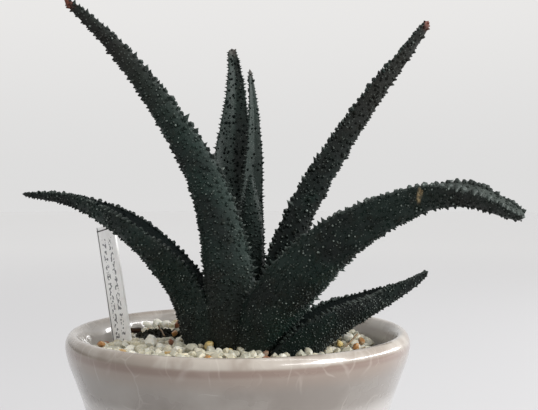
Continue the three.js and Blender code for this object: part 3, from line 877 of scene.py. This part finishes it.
stones = [  # x, y, lift, radius and tone of the stones that stand out
    (33.6, -1.6, 0.7, 2.1, "white"), (35.4, -8.2, 0.3, 1.4, "orange"), (37.8, -3, 1.2, 1.6, "orange"),
    (30.8, -6.5, 0.7, 1.3, "yellow"), (33.9, -17, 0.5, 1.2, "orange"), (37, -17, 0.3, 1.5, "cream"),
    (18.4, -24, 0.7, 1.9, "green"), (20.6, -19.3, 0.8, 1.8, "green"), (20.8, -28.7, 0.4, 1.8, "green"),
    (24.2, -27, 0.4, 1.2, "yellow"), (27.5, -22, 0.3, 1.3, "cream"),
    (-32.3, 30.5, 0.5, 1.9, "white"), (-29.2, 31, 0.6, 2.0, "white"), (-26, 30, 0.6, 2.0, "white"),
    (-23.8, 27, 0.5, 1.5, "cream"), (-33.6, 22.6, 0.2, 1.0, "yellow"), (-21.6, 28.5, 0.9, 1.8, "red"),
    (-21.4, 14, 0.9, 1.3, "orange"), (-20.9, -1.4, 0.5, 1.3, "red"), (-41.5, -5, 0.7, 1.2, "orange"),
    (-27, -2.8, 1.2, 2.4, "white"), (-31.5, -4.5, 0.6, 2.0, "cream"), (-8.2, -14.5, 0.6, 2.1, "yellow"),
    (-5, -14, 0.8, 1.6, "white"), (-13, -17, 0.5, 2.2, "green"), (-17.5, -12, 0.6, 2.0, "green"),
]


def gritLevel(x, y):
    level = gritForm["top"]
    for moundX, moundY, radius, height in gritForm["mounds"]:
        off = math.hypot(x - moundX, y - moundY) / radius
        level += height * math.exp(-2 * off * off)
    return level


# One grain: a ball flattened by a few planes.
def makeGrain(rng):
    bm = bmesh.new()
    bm.verts.layers.float.new("tone")
    bm.verts.layers.float.new("shade")
    bmesh.ops.create_icosphere(bm, subdivisions=2, radius=1)
    for _ in range(gritForm["facets"]):
        facing = Vector([rng.gauss(0, 1) for _ in range(3)]).normalized()
        depth = rng.uniform(0.58, 0.8)
        for vert in bm.verts:
            vert.co -= facing * max(0, vert.co.dot(facing) - depth)
    grain = toMesh(bm, "grain")
    grain.set_sharp_from_angle(angle=math.radians(24))
    return grain


def inLeaf(point):
    up = Vector((0, 0, 1))
    for skin in leafSkins:
        crossings = 0
        found = skin.ray_cast(point, up)[0]
        while found:
            crossings += 1
            found = skin.ray_cast(found + up * 0.00001, up)[0]
        if crossings % 2:
            return True
    return False


def grainPlaces(rng):
    places = []
    pitch = gritForm["pitch"]
    reach = int(gritForm["radius"] / pitch) + 2
    jitter = gritForm["jitter"]
    for layer in range(gritForm["layers"]):
        for row in range(-reach, reach + 1):
            for column in range(-reach, reach + 1):
                x = (column + 0.5 * (row % 2) + 0.33 * layer + rng.uniform(-jitter, jitter)) * pitch
                y = (row * 0.87 + 0.5 * layer + rng.uniform(-jitter, jitter)) * pitch
                if math.hypot(x, y) > gritForm["radius"] - 0.6:
                    continue
                size = rng.triangular(*[gritForm[k] for k in ("smallest", "largest", "middling")])
                sunk = 0.4 * size + gritForm["layerDepth"] * layer
                level = gritLevel(x, y) - sunk + rng.uniform(-0.5, 0.5)
                if inLeaf(Vector((x, y, level)) * mm):
                    continue
                if all(math.hypot(x - stone[0], y - stone[1]) > stone[3] for stone in stones):
                    tone = rng.random() * 0.84 if rng.random() < 0.95 else rng.uniform(0.86, 1)
                    places.append(grainPlace(x, y, level, size, tone, rng))
    for x, y, lift, size, tone in stones:
        places.append(grainPlace(x, y, gritLevel(x, y) + lift, size, stoneTones[tone], rng))
    return places


def grainPlace(x, y, level, size, tone, rng):
    axis = Vector([rng.gauss(0, 1) for _ in range(3)])
    turn = Matrix.Rotation(rng.uniform(0, 2 * math.pi), 4, axis)
    stretch = Matrix.Diagonal([size * mm * rng.uniform(0.8, 1.15) for _ in range(3)] + [1])
    matrix = Matrix.Translation(Vector((x, y, level)) * mm) @ turn @ stretch
    return matrix, {"tone": tone, "shade": rng.random()}


def makeGrit(look):
    rng = random.Random(7)
    kinds = [makeGrain(rng) for _ in range(gritForm["kinds"])]
    places = grainPlaces(rng)
    halves = {"gritLeft": [p for p in places if p[0].translation.x < 0],
              "gritRight": [p for p in places if p[0].translation.x >= 0]}
    for name, share in halves.items():
        bm = bmesh.new()
        bm.verts.layers.float.new("tone")
        bm.verts.layers.float.new("shade")
        for k, kind in enumerate(kinds):
            scatter(bm, kind, share[k::len(kinds)])
        makePiece(name, toMesh(bm, name), look, "grit", "grit")
        print(name, len(share), "grains")


# The bed under the grains: a disc whose top follows the mounds.
def makeBed(look):
    bm = bmesh.new()
    bmesh.ops.create_circle(bm, cap_ends=True, segments=64, radius=gritForm["radius"] * mm)
    floor = bm.verts[:]
    bmesh.ops.translate(bm, verts=floor, vec=(0, 0, gritForm["bottom"] * mm))
    top = bmesh.ops.extrude_face_region(bm, geom=bm.faces[:])["geom"]
    top = [g for g in top if isinstance(g, bmesh.types.BMFace)]
    for _ in range(gritForm["bedRings"]):
        bmesh.ops.inset_region(bm, faces=top, thickness=gritForm["bedRing"] * mm)
    for vert in bm.verts:
        if vert not in floor:
            vert.co.z = (gritLevel(vert.co.x / mm, vert.co.y / mm) - gritForm["bedDrop"]) * mm
    bmesh.ops.recalc_face_normals(bm, faces=bm.faces)
    makePiece("gritBed", toMesh(bm, "gritBed"), look, "grit", "grit")


def quartzLook(name, share):
    look = Look(name, {
        "Specular IOR Level": 0.5, "IOR": 1.54, "Subsurface Weight": 0.35,
        "Subsurface Radius": (0.0016, 0.0014, 0.0011), "Subsurface Scale": 1.0,
    })
    place = look.place()
    tone = look.attribute("tone")
    shade = look.attribute("shade")
    cloud = look.noise(place, 700, 3)
    colour = look.ramp(tone, [
        (0.0, (0.40, 0.39, 0.32)), (0.25, (0.51, 0.48, 0.38)), (0.50, (0.58, 0.535, 0.40)),
        (0.65, (0.64, 0.60, 0.49)), (0.80, (0.78, 0.76, 0.68)), (0.89, (0.58, 0.44, 0.17)),
        (0.94, (0.40, 0.17, 0.035)), (0.98, (0.26, 0.10, 0.05)),
    ])
    colour = look.mix(cloud.ease(0.4, 0.7, 0, 0.35), colour, (0.36, 0.36, 0.27))
    colour = look.mix(shade.ease(0.0, 0.4, 0.35, 0), colour, (0.30, 0.31, 0.25))
    # A share below one darkens the colour towards near black: painted shade.
    look.set("Base Color", look.mix(share, (0.05, 0.045, 0.035), colour))
    look.set("Roughness", cloud.ease(0.3, 0.7, 0.3, 0.5))
    look.set("Normal", look.bump(cloud, 0.0002, 0.3))
    return look


quartz = quartzLook("quartzGrit", 1)
makeGrit(quartz)
# The bed between the grains takes a darkened copy of the grit's colour: painted shade in the gaps.
makeBed(quartzLook("gritGapShade", 0.35))
print("grit spread")


# Plant label

labelForm = {
    "width": 8.6, "thickness": 0.8, "length": 72, "point": 9, "turn": -39, "lean": 12.6,
    "foot": (-37.9, 10.2, 83), "buried": 35, "edge": 0.12,
}


def makeLabel(look):
    bm = bmesh.new()
    half = labelForm["width"] / 2
    outline = [(0, 0), (half, labelForm["point"]), (half, labelForm["length"]),
               (-half, labelForm["length"]), (-half, labelForm["point"])]
    face = bm.faces.new([bm.verts.new((x, -labelForm["thickness"] / 2, z)) for x, z in outline])
    grown = bmesh.ops.extrude_face_region(bm, geom=[face])["geom"]
    verts = [g for g in grown if isinstance(g, bmesh.types.BMVert)]
    bmesh.ops.translate(bm, verts=verts, vec=(0, labelForm["thickness"], 0))
    bmesh.ops.recalc_face_normals(bm, faces=bm.faces)
    bmesh.ops.bevel(
        bm, geom=bm.edges, offset=labelForm["edge"], affect="EDGES", segments=2, profile=0.5,
        material=-1,
    )
    uv = bm.loops.layers.uv.new("labelMap")
    for corner in (c for f in bm.faces for c in f.loops):
        spot = corner.vert.co
        corner[uv].uv = (spot.x / labelForm["width"] + 0.5, spot.z / labelForm["length"])
    turn = Matrix.Rotation(math.radians(labelForm["turn"]), 4, "Z")
    place = Matrix.Translation(labelForm["foot"]) @ turn
    lean = Matrix.Rotation(-math.radians(labelForm["lean"]), 4, "Y")
    sink = Matrix.Translation((0, 0, -labelForm["buried"]))
    bmesh.ops.transform(bm, matrix=Matrix.Scale(mm, 4) @ place @ lean @ sink, verts=bm.verts)
    makePiece("plantLabel", toMesh(bm, "plantLabel", False), look, "label", nodeOf("plantLabel"))


def labelLook():
    look = Look("labelPlastic", {"Specular IOR Level": 0.4, "Subsurface Weight": 0.3,
                                 "Subsurface Radius": (0.002, 0.002, 0.002), "Subsurface Scale": 1.0})
    place = look.place()
    across = look.axis(look.uv(), "X")
    along = look.axis(look.uv(), "Y")
    dust = look.noise(place, 260, 4)
    border = across.ease(0.03, 0.04) * across.ease(0.075, 0.085, 1, 0)
    border = border.most(along.ease(0.978, 0.98) * along.ease(0.984, 0.986, 1, 0))
    # Two rows of strokes that spell nothing
    strokes = look.noise(look.stretch(look.uv(), (9, 62, 1)), 1, 1)
    first, second = [(across - row).size().ease(0.09, 0.11, 1, 0) for row in (0.33, 0.68)]
    rule = first.most(second)
    rule = rule * strokes.ease(0.52, 0.56) * along.ease(0.46, 0.462) * along.ease(0.94, 0.942, 1, 0)
    colour = look.mix(dust.ease(0.45, 0.7), (0.92, 0.92, 0.91), (0.84, 0.83, 0.81))
    colour = look.mix(rule * 0.85, colour, (0.10, 0.10, 0.11))
    look.set("Base Color", look.mix(border * 0.95, colour, (0.02, 0.02, 0.02)))
    look.set("Roughness", dust.ease(0.3, 0.7, 0.4, 0.6))
    look.set("Normal", look.bump(dust, 0.0001, 0.2))
    return look


makeLabel(labelLook())
print("label stuck in")


# Bark and straw

litter = {
    "bark": {"size": (4, 2.4, 1.5), "at": (-35.6, 22.5, 83.6), "turn": 12},
    "strawLeft": {"ends": [(-27, 16.5, 86.2), (-24, 8.6, 84)]},
    "strawRight": {"ends": [(36.4, -4.2, 86.7), (31.9, -9.8, 83.4)]},
    "strawWidth": 0.6,
}


def barkLook():
    look = Look("darkBark", {"Specular IOR Level": 0.2})
    layers = look.noise(look.stretch(look.place(), (1, 1, 4)), 500, 4)
    colour = look.mix(layers.ease(0.35, 0.65), (0.022, 0.012, 0.008), (0.085, 0.045, 0.026))
    look.set("Base Color", colour)
    look.set("Roughness", layers.ease(0.3, 0.7, 0.8, 1.0))
    look.set("Normal", look.bump(layers, 0.0005, 0.8))
    return look


def makeBark(look):
    chip = litter["bark"]
    bm = bmesh.new()
    bmesh.ops.create_cube(bm, size=1)
    bmesh.ops.subdivide_edges(bm, edges=bm.edges, cuts=5, use_grid_fill=True)
    bmesh.ops.scale(bm, verts=bm.verts, vec=chip["size"])
    for vert in bm.verts:
        vert.co *= 0.94 + 0.14 * noise.noise(vert.co * 1.3)
        vert.co += Vector((0, 0, 0.16 * noise.noise(vert.co * 3)))
    place = Matrix.Translation(chip["at"]) @ Matrix.Rotation(math.radians(chip["turn"]), 4, "Z")
    bmesh.ops.transform(bm, matrix=Matrix.Scale(mm, 4) @ place, verts=bm.verts)
    makePiece("barkChip", toMesh(bm, "barkChip"), look, "bark", nodeOf("barkChip"))


def strawLook():
    look = Look("dryStraw", {"Specular IOR Level": 0.4})
    fibre = look.noise(look.place(), 900, 3)
    colour = look.mix(fibre.ease(0.35, 0.65), (0.11, 0.065, 0.032), (0.25, 0.175, 0.10))
    look.set("Base Color", colour)
    look.set("Roughness", fibre.ease(0.3, 0.7, 0.55, 0.75))
    look.set("Normal", look.bump(fibre, 0.0002, 0.5))
    return look


def makeStraw(name, look):
    start, end = [Vector(p) for p in litter[name]["ends"]]
    ahead = (end - start).normalized()
    across = ahead.orthogonal().normalized()
    turn = Matrix((across, ahead.cross(across), ahead)).transposed().to_4x4()
    bm = bmesh.new()
    radius = litter["strawWidth"] / 2
    ring = bmesh.ops.create_circle(bm, cap_ends=True, segments=9, radius=radius)["verts"]
    length = (end - start).length
    steps = 12
    for step in range(steps):
        ring = extrudeRing(bm, ring)
        bmesh.ops.translate(bm, verts=ring, vec=(0.05 * math.sin(step), 0, length / steps))
        bmesh.ops.scale(bm, verts=ring, vec=(0.98, 0.98, 1), space=Matrix.Translation(-ring[0].co))
    bmesh.ops.edgeloop_fill(bm, edges=ringEdges(ring))
    bmesh.ops.recalc_face_normals(bm, faces=bm.faces)
    place = Matrix.Translation(start) @ turn
    bmesh.ops.transform(bm, matrix=Matrix.Scale(mm, 4) @ place, verts=bm.verts)
    makePiece(name, toMesh(bm, name), look, "straw", nodeOf(name))


makeBark(barkLook())
straw = strawLook()
makeStraw("strawLeft", straw)
makeStraw("strawRight", straw)
print("bark and straw dropped")


# Room: a pale floor, a pale world, the day from the right and a window for the glaze

room = {
    "floorRadius": 6.0, "nearPaper": (0.54, 0.54, 0.55), "farPaper": (0.63, 0.63, 0.632),
    "front": (0.335, 0.338, 0.348), "back": (0.728, 0.724, 0.720), "left": (0.08, 0.08, 0.085),
    "above": (0.83, 0.82, 0.81),
    # where the pale world turns from one colour to the next, from low to high on an axis
    "turns": [("Y", -0.6, 0.5, "back"), ("X", -0.35, -0.9, "left"), ("Z", 0.0, 0.26, "above")],
    "dayFrom": (0.84, -0.38, 0.52), "dayPower": 1.95, "daySoftness": 22,
    "paneDistance": 1.1, "paneCentre": (0, -0.03, 0.085),
    "panes": {  # the directions of both ends, the width and the glow
        "roofPane": ((0.143, 0.04, 0.987), (0.712, -0.296, 0.636), 0.07, 8),
        "frontPane": ((0.441, -0.708, 0.549), (0.932, -0.225, 0.287), 0.09, 13),
        "sidePane": ((0.932, -0.225, 0.287), (0.778, 0.622, 0.089), 0.09, 13),
    },
}

cameraForm = {"at": (9.4, -271, 129.8), "pitch": -0.786, "lens": 58.55, "sensor": 36}


def placeLamp(lamp, spot, turn):
    holder = bpy.data.objects.new(lamp.name, lamp)
    holder.location = spot
    holder.rotation_euler = turn.to_euler()
    bpy.context.scene.collection.objects.link(holder)


# A strip of light between two directions, for the glaze to mirror.
def makePane(name, start, end, width, glow):
    centre = Vector(room["paneCentre"])
    start, end = [centre + Vector(side).normalized() * room["paneDistance"] for side in (start, end)]
    length = (end - start).length
    across = (end - start) / length
    away = (start + end) / 2 - centre
    away = (away - away.dot(across) * across).normalized()
    pane = bpy.data.lights.new(name, "AREA")
    pane.shape = "RECTANGLE"
    pane.size = length
    pane.size_y = width
    pane.energy = glow * math.pi * length * width
    placeLamp(pane, (start + end) / 2, Matrix((across, away.cross(across), away)).transposed())


def makeRoom():
    bm = bmesh.new()
    bmesh.ops.create_circle(bm, cap_ends=True, segments=128, radius=room["floorRadius"])
    bmesh.ops.translate(bm, verts=bm.verts, vec=(0, 0, -0.0003))
    floor = bpy.data.objects.new("floor", toMesh(bm, "floor"))
    bpy.context.scene.collection.objects.link(floor)
    paper = Look("palePaper", {"Roughness": 0.9, "Specular IOR Level": 0.1})
    far = paper.reach(paper.place()).ease(0.4, 2.0)
    paper.set("Base Color", paper.mix(far, room["nearPaper"], room["farPaper"]))
    floor.data.materials.append(paper.material)

    world = bpy.data.worlds.new("paleRoom")
    world.use_nodes = True
    bpy.context.scene.world = world
    sky = Nodes(world.node_tree)
    direction = sky.node("TexCoord", {}, {}, "Generated")
    colour = room["front"]
    for axis, low, high, second in room["turns"]:
        colour = sky.mix(sky.axis(direction, axis).ease(low, high), colour, room[second])
    sky.feed(world.node_tree.nodes["Background"].inputs[0], colour)

    day = bpy.data.lights.new("day", "SUN")
    day.energy = room["dayPower"]
    day.angle = math.radians(room["daySoftness"])
    placeLamp(day, room["dayFrom"], Vector(room["dayFrom"]).to_track_quat("Z", "Y"))
    for name, pane in room["panes"].items():
        makePane(name, *pane)


def makeCamera():
    data = bpy.data.cameras.new("camera")
    data.lens = cameraForm["lens"]
    data.sensor_width = cameraForm["sensor"]
    data.clip_start = 0.01
    data.clip_end = 50
    camera = bpy.data.objects.new("camera", data)
    camera.location = Vector(cameraForm["at"]) * mm
    camera.rotation_euler = (math.radians(90 + cameraForm["pitch"]), 0, 0)
    bpy.context.scene.collection.objects.link(camera)
    bpy.context.scene.camera = camera


makeRoom()
makeCamera()
bpy.context.scene.view_settings.view_transform = "Standard"
print("room lit")
